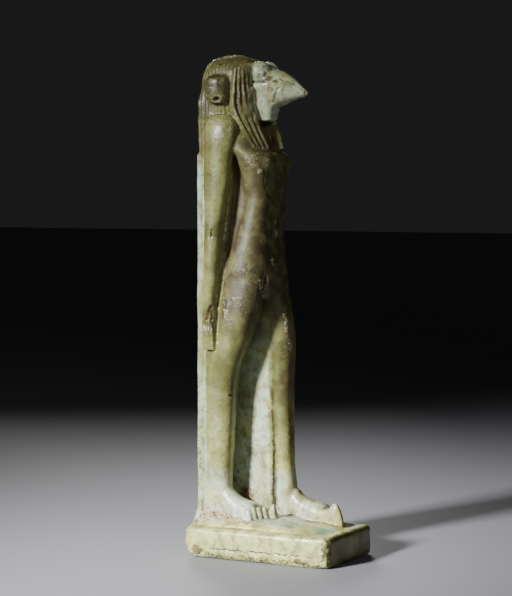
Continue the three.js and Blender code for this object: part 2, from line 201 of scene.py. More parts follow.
flare_t = np.linspace(0, 1, 12)
flare_z = PLINTH_HEIGHT - 0.6 + flare_t * PILLAR_FLARE_HEIGHT
flare_a = PILLAR_WIDTH / 2 + PILLAR_FLARE * (1 - flare_t) ** 2.6
pillar_y = PILLAR_BACK - PILLAR_DEPTH / 2
masses.append(
    slab(
        [[PLINTH_HEIGHT - 1.6, 0, pillar_y, flare_a[0], PILLAR_DEPTH / 2, 0.7]]
        + [[z, 0, pillar_y, a, PILLAR_DEPTH / 2, 0.7] for z, a in zip(flare_z, flare_a)]
        + [[level(790), 0, pillar_y, PILLAR_WIDTH / 2, PILLAR_DEPTH / 2, 0.7]]
    )
)

# Clay left between the limbs.
# The mould could not undercut, so the faience stays between the arms and the pillar, behind the
# forward leg as a thin wall, and behind the other calf. These fillings have flat, plain faces.

masses.append(
    slab(
        [
            [level(484), 0, forward(40), share(56), share(52), share(16)],
            [level(640), 0, forward(44), share(50), share(52), share(16)],
            [level(890), 0, forward(44), share(58), share(52), share(16)],
        ]
    )
)
masses.append(
    slab(
        [
            [level(372), 0, forward(14), share(70), share(26), share(8)],
            [level(560), 0, forward(18), share(74), share(28), share(8)],
            [level(800), 0, forward(28), share(74), share(38), share(8)],
            [level(850), 0, forward(24), share(58), share(28), share(8)],
        ]
    )
)
masses.append(
    slab(
        [
            [PLINTH_HEIGHT - 1, share(36), forward(56), share(27), share(64), share(6)],
            [level(500), share(36), forward(60), share(29), share(64), share(6)],
        ]
    )
)


def oval(a, b, square, sides):
    """Superellipse rings: x is a times the signed 2/square power of cos, y the same of b and sin.

    a and b hold one half size per ring. A square of 2 gives an ellipse, 6 nearly a rectangle.
    """
    angle = 2 * np.pi * np.arange(sides) / sides
    c, s = np.cos(angle), np.sin(angle)
    power = 2 / np.asarray(square, float).reshape(-1, 1)
    across = np.sign(c) * np.abs(c) ** power
    along = np.sign(s) * np.abs(s) ** power
    return np.asarray(a)[:, None] * across, np.asarray(b)[:, None] * along


def upright(rows, square=2.2, sides=72, spacing=0.5):
    """Upright body of oval rings. Each row is [z, centre x, centre y, half width, half depth]."""
    z = np.linspace(rows[0][0], rows[-1][0], int((rows[-1][0] - rows[0][0]) / spacing) + 2)
    _, x, y, a, b = table_at(rows, z).T
    u, v = oval(a, b, square, sides)
    height = np.broadcast_to(z[:, None], u.shape)
    return skin(np.stack([x[:, None] + u, y[:, None] + v, height], -1))


masses.append(
    upright(
        [
            [PLINTH_HEIGHT - 1, -share(38), forward(10), share(40), share(24)],
            [level(60), -share(38), forward(8), share(34), share(20)],
            [level(330), -share(38), forward(8), share(35), share(22)],
            [level(376), -share(38), forward(10), share(36), share(24)],
        ],
        square=3.5,
    )
)

# Trunk.
# Bare chest, narrow waist and rounded hips, modelled softly in the mould and then blurred by the
# glaze. The chest muscles are two low swellings.

masses.append(
    upright(
        [
            [level(480), 0, forward(84), share(56), share(36)],
            [level(490), 0, forward(84), share(70), share(43)],
            [level(508), 0, forward(84), share(79), share(48)],
            [level(540), 0, forward(85), share(85), share(51)],
            [level(576), 0, forward(89), share(83), share(46)],
            [level(632), 0, forward(99), share(72), share(36)],
            [level(684), 0, forward(108), share(65), share(30)],
            [level(728), 0, forward(106), share(71), share(34)],
            [level(766), 0, forward(105), share(81), share(41)],
            [level(787), 0, forward(98), share(84), share(42)],
            [level(802), 0, forward(77), share(84), share(42)],
            [level(836), 0, forward(68), share(74), share(38)],
            [level(860), 0, forward(60), share(46), share(32)],
        ],
        square=2.35,
    )
)


def ball(middle, half, tilt=0.0, around=40, rows=28):
    """Ellipsoid: each ring at polar angle p has the radius sin p and the height cos p.

    It is stretched by the three half sizes and turned by tilt about the x axis.
    """
    polar = np.linspace(0.02, np.pi - 0.02, rows)[:, None]
    turn = (2 * np.pi * np.arange(around) / around)[None]
    x = half[0] * np.sin(polar) * np.cos(turn)
    y = half[1] * np.sin(polar) * np.sin(turn)
    z = half[2] * np.cos(polar) * np.ones_like(turn)
    y, z = y * np.cos(tilt) - z * np.sin(tilt), y * np.sin(tilt) + z * np.cos(tilt)
    return skin(np.stack([middle[0] + x, middle[1] + y, middle[2] + z], -1))


for side in (-1, 1):
    chest_middle = (side * share(34), forward(124), level(768))
    masses.append(ball(chest_middle, (share(34), share(22), share(26))))

# Legs and feet.
# The left leg strides forward, the right one stands back against the pillar. The feet are long
# wedges that end in blunt, slightly upturned toes.

right_leg = [
    [level(0), -share(45), forward(22), share(25), share(30)],
    [level(95), -share(46), forward(20), share(24), share(28)],
    [level(180), -share(46), forward(19), share(29), share(34)],
    [level(268), -share(46), forward(22), share(32), share(36)],
    [level(325), -share(46), forward(30), share(34), share(36)],
    [level(380), -share(46), forward(50), share(37), share(38)],
    [level(430), -share(46), forward(66), share(40), share(40)],
    [level(480), -share(45), forward(77), share(41), share(43)],
    [level(540), -share(41), forward(84), share(40), share(44)],
    [level(590), -share(36), forward(88), share(34), share(36)],
]
left_leg = [
    [level(0), share(44), forward(134), share(24), share(27)],
    [level(60), share(44), forward(134), share(23), share(25)],
    [level(95), share(44), forward(131), share(23), share(24)],
    [level(138), share(44), forward(126), share(25), share(25)],
    [level(182), share(44), forward(121), share(28), share(30)],
    [level(270), share(45), forward(115), share(32), share(35)],
    [level(335), share(45), forward(115), share(33), share(36)],
    [level(376), share(45), forward(114), share(36), share(38)],
    [level(420), share(44), forward(107), share(38), share(42)],
    [level(465), share(43), forward(97), share(40), share(44)],
    [level(540), share(40), forward(88), share(40), share(44)],
    [level(590), share(36), forward(88), share(34), share(36)],
]
masses.append(upright(right_leg, square=2.5))
masses.append(upright(left_leg, square=2.5))


def lengthways(y0, rows, square=2.4, sides=56, spacing=0.4):
    """Body that points forward. Each row is [distance in front of y0, x, underside, half width, top].

    Its rings stand upright, each an oval between its underside and its top.
    """
    t = np.linspace(rows[0][0], rows[-1][0], int((rows[-1][0] - rows[0][0]) / spacing) + 2)
    _, x, low, a, top = table_at(rows, t).T
    u, v = oval(a, (top - low) / 2, square, sides)
    place = np.broadcast_to(y0 - t[:, None], u.shape)
    return skin(np.stack([x[:, None] + u, place, (low + top)[:, None] / 2 + v], -1))


FOOT_STATIONS = [0, 14, 42, 51, 68, 84, 98, 110, 118]
FOOT_HALF_WIDTHS = [17, 21, 23, 24, 25, 27, 28, 24, 17]
SOLE_LOW = PLINTH_HEIGHT - 0.5


def foot(side, heel, rise, tops, tips, slope):
    """A wedge through the foot's stations and five blunt toes, with heel and tips as shares.

    A toe's place across the foot is a power of its number, and its reach falls off evenly with it.
    Its top lies slope behind its tip.
    """
    x, y0 = side * share(46), forward(heel)
    rows = [
        [share(t), x + side * share(t / 90), SOLE_LOW, share(a), level(top)]
        for t, a, top in zip(FOOT_STATIONS, FOOT_HALF_WIDTHS, tops)
    ]
    masses.append(lengthways(y0, rows, square=2.6))
    for k in range(5):
        t = k / 4
        toe_x = x + side * share(-18 + 43 * t**0.85)
        tip = tips[0] - (0 if k == 0 else tips[1] + tips[2] * t)
        half = share(9.5 if k == 0 else 6.5)
        top = rise * (1 if k == 0 else 0.92 - 0.1 * t)
        toe_rows = [
            [share(tip - 64), toe_x, SOLE_LOW, half * 0.6, level(top * 0.55)],
            [share(tip - 44), toe_x, SOLE_LOW, half * 0.85, level(top * 0.66)],
            [share(tip - slope - 9), toe_x, SOLE_LOW, half, level(top * 0.77)],
            [share(tip - slope), toe_x, SOLE_LOW, half, level(top)],
            [share(tip - 0.4 * slope), toe_x, SOLE_LOW, half * 0.9, level(top * 0.7)],
            [share(tip), toe_x, SOLE_LOW, half * 0.6, level(top * 0.24)],
        ]
        masses.append(lengthways(y0, toe_rows, square=2.8, sides=32, spacing=0.25))


foot(-1, 0, 44, [40, 64, 80, 71, 57, 50, 46, 40, 24], [152, 8, 30], 9)
foot(1, 120, 45, [36, 56, 66, 56, 47, 42, 39, 35, 22], [160, 1, 24], 17)

# Arms and hands.
# Straight arms hang at the sides, free of the waist in front and backed by the slab. The hands lie
# flat on the thighs, with the fingers only scratched in.

arm_rows = [
    [430, 83, 15, 13, 14],
    [455, 83, 16, 14, 12],
    [520, 83, 20, 18, 16],
    [612, 84, 26, 20, 18],
    [690, 84, 33, 22, 25],
    [770, 85, 38, 24, 31],
    [832, 83, 43, 26, 37],
    [858, 78, 42, 24, 31],
    [872, 72, 40, 15, 17],
]


def banded(edge_a, edge_b, ridges, height, depth, outward, steps=60, per_ridge=10):
    """Band between two edge curves, with rounded ridges on its outer face and a flat back.

    Across the band the face rises by height times |sin(pi * ridges * u)|, along the outward normal,
    which is the cross product of the way across and the way along.
    """
    t = np.linspace(0, 1, steps)
    knots = np.linspace(0, 1, len(edge_a))
    start = table_at(np.column_stack([knots, edge_a]), t)[:, 1:]
    across = table_at(np.column_stack([knots, edge_b]), t)[:, 1:] - start
    out = np.cross(across, np.gradient(start, axis=0))
    out /= np.linalg.norm(out, axis=1, keepdims=True)
    out *= np.sign(out @ np.array(outward, float))[:, None]
    u = np.linspace(0, 1, ridges * per_ridge + 1)
    rise = height * np.abs(np.sin(np.pi * ridges * u))
    face = start[:, None] + across[:, None] * u[None, :, None] + out[:, None] * rise[None, :, None]
    back = np.stack([start + across - out * depth, start - out * depth], 1)
    return skin(np.concatenate([face, back], 1))


for side in (-1, 1):
    rows = [
        [level(z), side * share(x), forward(y), share(a), share(b)] for z, x, y, a, b in arm_rows
    ]
    masses.append(upright(rows, square=2.2))
    hand = [[372, 84], [384, 89], [410, 91], [440, 88], [462, 82]]
    edges = [[[side * share(x), forward(y), level(z)] for z, x in hand] for y in (1, 30)]
    masses.append(banded(*edges, 4, share(4), share(20), (side, 0, 0)))

# Wig and suspension lugs.
# The long wig has a smooth rounded crown, a flat fall down to the pillar's top and a lappet of four
# locks in front of each shoulder. A barrel-shaped lug stands on each side, pierced from below.

fall_back = PILLAR_BACK - PILLAR_STEP
fall_rows = [
    [786, 66, 22, 0],
    [850, 69, 30, 0],
    [898, 70, 38, 0],
    [930, 66, 36, 7],
    [950, 58, 30, 18],
]
masses.append(
    slab(
        [
            [level(z), 0, fall_back - share(b + inset), share(a), share(b), share(11)]
            for z, a, b, inset in fall_rows
        ]
    )
)
masses.append(
    upright(
        [
            [level(794), 0, forward(3), share(63), share(24)],
            [level(850), 0, forward(10), share(70), share(36)],
            [level(884), 0, forward(21), share(72), share(49)],
            [level(925), 0, forward(31), share(74), share(58)],
            [level(948), 0, forward(35), share(72), share(61)],
            [level(974), 0, forward(40), share(64), share(58)],
            [level(990), 0, forward(38), share(47), share(42)],
            [level(1000), 0, forward(34), share(18), share(16)],
        ],
        square=3.1,
        spacing=0.3,
    )
)
outer_edge = [[66, 65, 970], [74, 64, 931], [73, 62, 883], [65, 86, 832], [61, 104, 800]]
inner_edge = [[45, 87, 972], [42, 91, 931], [31, 100, 883], [22, 114, 832], [15, 126, 798]]
LEFT_LAPPET_LEAD = 12  # the left lappet stands out further over the chest


def fade(value, near, far):
    """1 where value is under near, 0 where it is over far, with a smooth step between."""
    s = np.clip((far - value) / (far - near), 0, 1)
    return s * s * (3 - 2 * s)


for side in (-1, 1):
    lead = 0 if side < 0 else LEFT_LAPPET_LEAD
    edges = [
        [[side * share(x), forward(y + lead * fade(z, 830, 900)), level(z)] for x, y, z in edge]
        for edge in (outer_edge, inner_edge)
    ]
    masses.append(banded(*edges, 4, share(8), share(16), (side, -0.8, 0)))
    lug_top, lug_r, lug_h = level(955), 2.9, 6.6
    lug_rows = [[1, 0.62], [0.8, 0.95], [0.4, 1.0], [0.12, 0.9], [0, 0.5]]
    masses.append(
        upright(
            [
                [lug_top - lug_h * down, side * share(78), forward(33), lug_r * k, lug_r * k]
                for down, k in lug_rows
            ],
            square=2.5,
            spacing=0.3,
        )
    )

# Bird's head.
# An ibis face comes out of the wig: domed brow, round eyes, flat cheeks and a block of faience that
# props up the bill. The long curved bill has broken off and left a short wedge.

masses.append(ball((0, forward(104), level(954)), (share(36), share(32), share(28))))
for side in (-1, 1):
    masses.append(
        ball((side * share(20), forward(104), level(961)), (share(18), share(26), share(25.5)))
    )
    masses.append(
        ball((side * share(35), forward(115), level(959)), (share(6), share(9), share(8)))
    )
masses.append(
    slab(
        [
            [level(859), 0, forward(107), share(20), share(22), share(12)],
            [level(893), 0, forward(108), share(28), share(26), share(15)],
            [level(925), 0, forward(111), share(34), share(30), share(16)],
            [level(950), 0, forward(111), share(35), share(29), share(16)],
        ]
    )
)
masses.append(
    slab(
        [
            [level(846), 0, forward(70), share(46), share(28), share(4)],
            [level(930), 0, forward(72), share(47), share(28), share(4)],
        ]
    )
)
masses.append(
    lengthways(
        forward(118),
        [
            [0, 0, level(893), share(33), level(973)],
            [share(18), 0, level(889), share(31), level(968)],
            [share(44), 0, level(897), share(23), level(957)],
            [share(66), 0, level(905), share(15), level(941)],
            [share(82), 0, level(909), share(9), level(926)],
            [share(91), 0, level(913), share(4.5), level(920)],
        ],
        square=2.3,
    )
)

# One fired body.
# The pressed paste fused into a single piece in the kiln, and the glaze ran into its corners. The
# head and the toes, cut in by hand before the glazing, stayed sharper than the limbs.

FINE = 0.2  # spacing of the fused surface, in millimetres
FACE_LIMIT = 190000  # triangles of the finished surface
SOFTNESS, CRISPNESS, BLUR_PASSES = 0.7, 0.48, 12


def fused(skins, spacing):
    """One outer surface round all the closed skins, as a fresh mesh object in millimetres."""
    offset = np.cumsum([0] + [len(points) for points, _ in skins])
    points = np.concatenate([points for points, _ in skins])
    faces = [[i + start for i in f] for (_, fs), start in zip(skins, offset) for f in fs]
    mesh = bpy.data.meshes.new("faience_body")
    mesh.from_pydata(points.tolist(), [], faces)
    body = bpy.data.objects.new("faience_body", mesh)
    bpy.context.collection.objects.link(body)
    remesh = body.modifiers.new("fuse", "REMESH")
    remesh.mode = "VOXEL"
    remesh.voxel_size = spacing
    return body


def settle(body):
    """Puts what the object's modifiers make into its own mesh and clears them."""
    shaped = body.evaluated_get(bpy.context.evaluated_depsgraph_get())
    fresh = bpy.data.meshes.new_from_object(shaped)
    body.modifiers.clear()
    body.data = fresh
    return body


def points_of(mesh):
    """The mesh's points as an array (point, xyz)."""
    flat = np.empty(len(mesh.vertices) * 3, np.float32)
    mesh.vertices.foreach_get("co", flat)
    return flat.reshape(-1, 3).astype(float)


def move_to(mesh, points):
    """Puts the mesh's points at the places in an array (point, xyz)."""
    mesh.vertices.foreach_set("co", points.astype(np.float32).ravel())
    mesh.update()


def edges_of(mesh):
    """The mesh's edges as an array (edge, its two points)."""
    flat = np.empty(len(mesh.edges) * 2, np.int32)
    mesh.edges.foreach_get("vertices", flat)
    return flat.reshape(-1, 2)


def normals_of(mesh):
    """The mesh's point normals as an array (point, xyz)."""
    flat = np.empty(len(mesh.vertices) * 3, np.float32)
    mesh.vertex_normals.foreach_get("vector", flat)
    return flat.reshape(-1, 3).astype(float)


def neighbour_mean(values, edges):
    """At each point, the mean of the values at the points it shares an edge with."""
    count = len(values)
    both = np.concatenate([edges, edges[:, ::-1]])
    degree = np.bincount(both[:, 0], minlength=count)
    columns = [np.bincount(both[:, 0], values[both[:, 1], k], count) for k in range(values.shape[1])]
    return np.stack(columns, 1) / degree[:, None]


def hollowness(mesh, passes):
    """How far the mean of the surface around each point lies in front of it, in millimetres.

    The mean is taken over neighbours again and again; it is positive in hollows, negative on edges.
    """
    links_of_mesh, start = edges_of(mesh), points_of(mesh)
    mean = start
    for _ in range(passes):
        mean = neighbour_mean(mean, links_of_mesh)
    return ((mean - start) * normals_of(mesh)).sum(1)


body = settle(fused(masses, FINE))
edges = edges_of(body.data)
place = points_of(body.data)
x, y, z = place.T
is_head = 1 - fade(z, level(848), level(858))
is_plinth = fade(z, PLINTH_HEIGHT + 0.3, PLINTH_HEIGHT + 0.9)
toe_start = np.where(x < 0, forward(112), forward(236))
is_toe = fade(z, level(52), level(60)) * fade(y, toe_start, toe_start + 1)
is_prop = is_head * fade(z, level(900), level(915)) * fade(y, forward(84), forward(78))
crisp = np.maximum(np.maximum(is_head - 0.9 * is_prop, is_toe), is_plinth)
softness = SOFTNESS - CRISPNESS * crisp
for _ in range(BLUR_PASSES):
    place += softness[:, None] * 0.8 * (neighbour_mean(place, edges) - place)
move_to(body.data, place)

# Glaze pooled in the corners
place += (0.7 * (1 - crisp) * np.maximum(hollowness(body.data, 10), 0))[:, None] * normals_of(body.data)
move_to(body.data, place)

# Carving, wear and finds from the ground.
# Grooves and holes were scratched into the wet paste. Later the edges wore pale, the glaze cracked and
# flaked, and tan crust stuck on; the corners are darkened brown, partly earth and partly painted shade.


def noise(points, size, seed):
    """Smooth random heights from -1 to 1 that change over the given size in millimetres.

    Each corner of a cubic lattice has a number from a sine hash; the eight corners round a point
    are blended with the weight 3s^2 - 2s^3 along each axis.
    """
    q = points / size + seed * 17.31
    base = np.floor(q)
    s = q - base
    s = s * s * (3 - 2 * s)
    total = np.zeros(len(q))
    for corner in range(8):
        step = np.array([corner & 1, corner >> 1 & 1, corner >> 2 & 1])
        mixed = np.sin((base + step) @ np.array([12.9898, 78.233, 37.719]) + seed) * 43758.5453
        weight = np.prod(np.where(step, s, 1 - s), axis=1)
        total += weight * (mixed - np.floor(mixed))
    return 2 * total - 1


def spot(points, middle, half):
    """1 at the middle of an ellipsoid of those half sizes, fading to 0 at its surface."""
    reach = np.sqrt((((points - np.array(middle)) / np.array(half)) ** 2).sum(1))
    return fade(reach, 0.4, 1.0)


def scratch(points, path, width):
    """1 on the line through the path's points, falling off as exp(-(distance / width)^2)."""
    nearest = np.full(len(points), np.inf)
    for start, end in zip(np.array(path[:-1], float), np.array(path[1:], float)):
        way = end - start
        t = np.clip((points - start) @ way / (way @ way), 0, 1)
        nearest = np.minimum(nearest, np.linalg.norm(points - start - t[:, None] * way, axis=1))
    return np.exp(-((nearest / width) ** 2))


def carving(p, n):
    """Push along the normal in millimetres, and darkness, of what was scratched in by hand."""
    x, y, z = p.T
    mirrored = np.column_stack([-np.abs(x), y, z])
    push, dark = np.zeros(len(p)), np.zeros(len(p))

    # Combed lines on the wig: front to back over the crown, straight down at the sides and back
    wig = (1 - fade(z, level(800), level(812))) * (1 - fade(y, forward(62), forward(56)))
    crown = (1 - fade(z, level(962), level(970))) * (1 - fade(y, forward(90), forward(80)))
    wig = np.maximum(wig, crown)
    wig *= np.abs(x) < share(76)
    sway = 0.55 * noise(p * np.array([1, 1, 0.25]), 1.6, 4)
    along = np.where(np.abs(n[:, 0]) > 0.72, y / 0.95, x / 1.05)
    comb = np.sin(2 * np.pi * along + sway * 3)
    strength = 0.65 + 0.4 * noise(p, 4.0, 5)
    push += 0.11 * wig * comb * strength
    dark += 0.75 * wig * np.clip(-comb - 0.2, 0, 1) * strength

    # Two grooves along each side of the bill, the line under the eye and the bill's root
    for path, width, depth, dirt in (
        ([(-2.5, -1.7, 114.0), (-1.75, -4.0, 113.3), (-0.6, -6.9, 111.6)], 0.26, 0.24, 0.35),
        ([(-2.0, -2.0, 114.9), (-1.2, -4.5, 114.1), (-0.4, -6.6, 112.6)], 0.2, 0.12, 0.15),
        ([(-3.8, 4.8, 113.4), (-3.8, 0.3, 113.5), (-2.8, -1.2, 113.5)], 0.3, 0.34, 0.85),
        ([(-2.9, -1.6, 111.9), (-3.0, -0.6, 110.2), (-2.4, 0.0, 108.8)], 0.26, 0.22, 0.4),
    ):
        line = scratch(mirrored, path, width)
        push -= depth * line
        dark = np.maximum(dark, dirt * line)

    # Navel, slot at the groin and the bores of the lugs
    for middle, half, depth in (
        ((-0.9, forward(133), level(620)), (0.75, 1.6, 1.15), 0.9),
        ((-4.6, forward(126), level(519)), (0.75, 1.8, 2.1), 1.1),
        ((-10.9, 10.8, 109.0), (1.0, 1.1, 1.1), 1.0),
        ((10.9, 10.8, 109.0), (1.0, 1.1, 1.1), 1.0),
    ):
        inside = spot(p, middle, half)
        push -= depth * inside
        dark = np.maximum(dark, inside)
    return push, dark


# A hair crack is dark, crust is tan and rough, rust is a brown stain, pale is a worn edge, turquoise
# is clean thick glaze, and pitted glaze has flaked off in small dark holes. Dark also lays painted shade
# down the inner lock of the near lappet, and the pale spots on the chest and belly are partly painted
# glints.
KINDS = ("dark", "crust", "rust", "pale", "turquoise", "pitted")

# Lines of wear and damage: [kind, width, push, amount, path]
LINES = [
    ["dark", 0.2, -0.08, 0.35, [(-6.5, 0.4, 92.7), (-5.5, 0.7, 88.7), (-4.6, 0.6, 87.0)]],
    [
        *("dark", 0.2, -0.08, 0.6),
        [(-4.6, 0.6, 87.0), (-2.1, 0.2, 85.0), (1.0, 0.2, 82.5), (1.9, 0.3, 81.8)],
    ],
    ["dark", 0.18, -0.05, 0.5, [(-10.7, 10.4, 7.4), (-12.4, 10.6, 5.0), (-12.4, 11.2, 0.6)]],
    ["dark", 0.16, -0.04, 0.35, [(-10.2, -7.3, 7.4), (-12.4, -7.6, 5.0), (-12.4, -8.5, 1.2)]],
    ["dark", 0.25, -0.2, 0.9, [(-11.6, 11.9, 78.3), (-11.6, 11.9, 76.7)]],
    [
        *("crust", 0.35, 0.05, 0.8),
        [(-7.9, 14.5, 105.6), (-10.0, 11.1, 105.0), (-9.1, 8.7, 104.5), (-7.0, 9.0, 104.9)],
    ],
    ["crust", 0.4, 0.0, 0.75, [(-7.7, 16.3, 101.0), (-8.2, 16.0, 95.9)]],
    ["rust", 0.95, -0.2, 0.9, [(-3.9, 3.6, 104.6), (-3.2, 3.0, 102.3), (-1.6, 2.6, 99.6)]],
    # Dark band down the inner lock of the near lappet, beside the cheek: painted shade over the lock's
    # dark brown glaze
    ["dark", 0.7, -0.1, 0.6, [(-6.0, 5.8, 116.5), (-5.7, 5.5, 112.6), (-5.1, 4.7, 108.4)]],
    ["dark", 0.7, -0.1, 0.6, [(-5.1, 4.7, 108.4), (-4.0, 3.9, 105.6)]],
    ["rust", 0.6, -0.4, 1.0, [(-10.2, 12.8, 59.8), (-10.8, 14.3, 55.8)]],
    ["rust", 0.5, -0.4, 1.0, [(-9.9, 12.2, 58.4), (-10.0, 13.0, 52.0)]],
    ["dark", 0.3, -0.1, 0.5, [(-10.3, 13.2, 59.0), (-10.7, 14.1, 56.4)]],
    ["dark", 0.25, -0.1, 0.5, [(-9.9, 12.3, 57.4), (-10.0, 12.9, 53.0)]],
    ["pale", 0.3, 0.16, 0.9, [(-8.9, 9.8, 62.2), (-9.5, 7.5, 62.1), (-9.4, 5.1, 62.2)]],
    ["pale", 0.35, 0.14, 0.7, [(-8.9, 9.8, 62.0), (-9.3, 9.5, 59.4), (-9.4, 9.4, 56.9)]],
    ["rust", 0.25, 0.0, 0.8, [(-9.4, 9.6, 56.7), (-9.5, 7.6, 56.7)]],
    ["pale", 0.5, 0.05, 0.9, [(-6.5, 1.6, 66.5), (-5.9, 1.9, 63.9), (-4.0, 2.1, 62.7)]],
    ["pale", 0.32, 0.08, 0.85, [(-7.6, 8.5, 92.5), (-7.9, 8.9, 88.0), (-8.0, 9.6, 82.0)]],
    ["pale", 0.32, 0.08, 0.85, [(-8.0, 9.6, 82.0), (-8.2, 11.1, 72.4), (-8.4, 12.3, 61.5)]],
    ["pale", 0.7, 0.04, 0.9, [(2.5, -0.3, 58.0), (2.8, -0.9, 54.2), (3.7, -1.3, 49.8)]],
    ["pale", 0.45, 0.1, 0.8, [(-6.7, 2.8, 98.0), (-3.8, 1.6, 97.6), (-1.5, 1.7, 97.5)]],
    ["rust", 0.45, 0.0, 0.7, [(1.2, 2.4, 40.0), (1.3, 2.1, 32.0), (1.5, 2.0, 25.0), (1.6, 2.3, 12.0)]],
    ["crust", 0.5, 0.1, 0.7, [(1.6, 3.1, 14.0), (2.3, 1.6, 11.5), (2.3, 0.2, 9.6)]],
    ["crust", 1.0, 0.25, 1.0, [(-8.9, 16.0, 9.6), (-8.5, 13.0, 9.9), (-8.4, 9.5, 9.9), (-8.8, 5.5, 9.1)]],
    ["crust", 0.6, 0.1, 1.0, [(-8.8, 5.5, 9.1), (-8.9, 2.6, 8.5)]],
    ["pitted", 2.0, -0.1, 1.0, [(-12.0, -18.7, 6.4), (-12.0, -18.7, 1.2)]],
    ["pitted", 1.0, -0.05, 0.5, [(-12.0, -18.7, 6.6), (6.0, -19.0, 6.6)]],
    ["pitted", 0.6, 0.0, 0.35, [(-12.2, -15.0, 6.8), (-12.2, 14.0, 6.8)]],
    ["pitted", 0.8, 0.0, 0.75, [(-12.3, -16.0, 0.9), (-12.3, 15.0, 0.9)]],
]

# Patches: [kind, push, amount, middle, half sizes]
PATCHES = [
    ["crust", 0.15, 1.0, (0.9, 8.6, 13.6), (1.6, 2.8, 2.9)],
    ["crust", 0.1, 0.9, (-10.4, 17.4, 8.2), (2.6, 1.7, 1.6)],
    ["crust", 0.0, 0.55, (-3.5, 4.4, 110.2), (1.1, 0.7, 3.6)],
    ["rust", 0.1, 0.6, (-3.6, 0.3, 114.3), (1.1, 2.0, 0.9)],
    ["pitted", 0.0, 0.55, (-3.2, 1.0, 116.5), (2.2, 3.0, 2.0)],
    ["pitted", 0.0, 0.4, (-2.4, -2.5, 112.2), (2.0, 3.0, 2.5)],
    ["rust", 0.0, 0.8, (-4.3, 2.9, 115.0), (0.7, 0.7, 0.6)],
    ["rust", 0.0, 0.7, (-1.0, -7.4, 111.2), (1.6, 0.9, 1.3)],
    ["rust", 0.0, 0.45, (-3.2, 0.2, 111.6), (1.0, 1.1, 1.1)],
    ["rust", 0.0, 0.8, (-12.4, 15.4, 1.9), (1.4, 2.4, 1.6)],
    ["rust", 0.0, 1.0, (-12.4, -12.1, 1.6), (1.2, 2.4, 0.9)],
    ["dark", 0.0, 0.5, (-11.5, 11.6, 113.0), (2.2, 3.6, 4.2)],
    ["rust", 0.0, 0.4, (4.4, -1.0, 30.0), (2.2, 2.0, 9.0)],
    ["rust", 0.0, 0.4, (-5.2, 17.0, 24.0), (3.6, 3.2, 14.0)],
    ["dark", -0.2, 0.8, (-7.2, 9.4, 38.6), (0.9, 0.7, 0.5)],
    ["dark", -0.15, 0.7, (-6.6, 12.0, 117.7), (0.6, 0.5, 0.5)],
    ["dark", -0.15, 0.7, (-6.7, 7.9, 117.1), (0.6, 0.5, 0.5)],
    ["dark", -0.12, 0.8, (-7.3, 17.7, 82.8), (0.5, 0.4, 0.5)],
    ["dark", -0.2, 0.8, (2.9, -2.9, 8.3), (0.8, 0.6, 0.7)],
    ["dark", -0.2, 0.8, (1.9, -3.2, 8.2), (0.6, 0.5, 0.7)],
    # Whitish speckled spots down the chest and belly: partly worn glaze, partly painted glints
    ["pale", 0.0, 0.8, (-7.4, 1.3, 92.4), (1.0, 0.9, 1.1)],
    ["pale", 0.0, 0.8, (-1.0, 0.4, 80.2), (1.3, 0.9, 1.2)],
    ["pale", 0.0, 0.8, (-2.3, 0.5, 71.6), (0.9, 0.9, 2.6)],
    ["pale", 0.0, 0.6, (-0.9, 0.8, 65.2), (0.8, 0.9, 0.8)],
    ["pale", 0.12, 0.35, (-9.5, 8.7, 59.4), (1.0, 1.2, 3.0)],
    ["turquoise", 0.0, 1.0, (-4.5, -14.6, 7.6), (5.0, 3.0, 1.6)],
]


def damage(p):
    """Push along the normal in millimetres of all wear, and its masks by kind."""
    masks = {kind: np.zeros(len(p)) for kind in KINDS}
    push = np.zeros(len(p))
    wander = np.column_stack([noise(p, 1.4, seed) for seed in (11, 12, 13)])
    q = p + 0.22 * wander
    ragged = 1 + 0.35 * noise(p, 0.8, 6) + 0.25 * noise(p, 0.4, 7)
    for kind, width, rise, amount, path in LINES:
        shape = scratch(q, path, width) * ragged
        push += rise * shape
        masks[kind] = np.maximum(masks[kind], amount * shape)
    for kind, rise, amount, middle, half in PATCHES:
        shape = spot(q + 0.3 * wander, middle, half) * ragged
        push += rise * shape
        masks[kind] = np.maximum(masks[kind], amount * shape)

    # Broken wavy crack along the right side of the plinth
    x, y, z = p.T
    crack_z = 2.6 + 0.12 * np.sin(1.9 * y) + 0.07 * np.sin(4.3 * y + 1) - 0.01 * y
    crack = np.exp(-(((z - crack_z) / 0.22) ** 2)) * (x < -12) * fade(np.abs(y + 1.5), 15.0, 16.5)
    crack *= np.clip(0.75 + 1.0 * noise(p, 1.1, 8), 0, 1)
    push -= 0.14 * crack
    masks["dark"] = np.maximum(masks["dark"], crack)

    # Lumps in the crust, pits all over and flaked edges
    push += 0.16 * np.clip(masks["crust"], 0, 1) * noise(p, 0.7, 9)
    pits = np.clip((noise(p, 0.55, 10) - 0.7) * 3, 0, 1)
    flakes = np.clip((noise(p, 0.8, 14) + 0.3) * 3, 0, 1) * np.clip(masks.pop("pitted"), 0, 1)
    push -= 0.08 * pits + 0.07 * flakes
    masks["dark"] = np.maximum.reduce([masks["dark"], 0.75 * flakes, 0.3 * pits])
    return push, masks


push = 0.12 * noise(place, 7.0, 1) + 0.06 * noise(place, 2.6, 2) + 0.018 * noise(place, 0.9, 3)
push += 0.1 * is_prop * noise(place, 1.2, 15) + 0.05 * is_head * noise(place, 1.5, 16)
push += 0.08 * is_plinth * noise(place, 4.0, 17)
carved, scratched = carving(place, normals_of(body.data))
worn, masks = damage(place)
place += (push + carved + worn)[:, None] * normals_of(body.data)
move_to(body.data, place)

faces_now = sum(len(f.vertices) - 2 for f in body.data.polygons)
thin = body.modifiers.new("thin", "DECIMATE")
thin.ratio = min(1.0, FACE_LIMIT / faces_now)

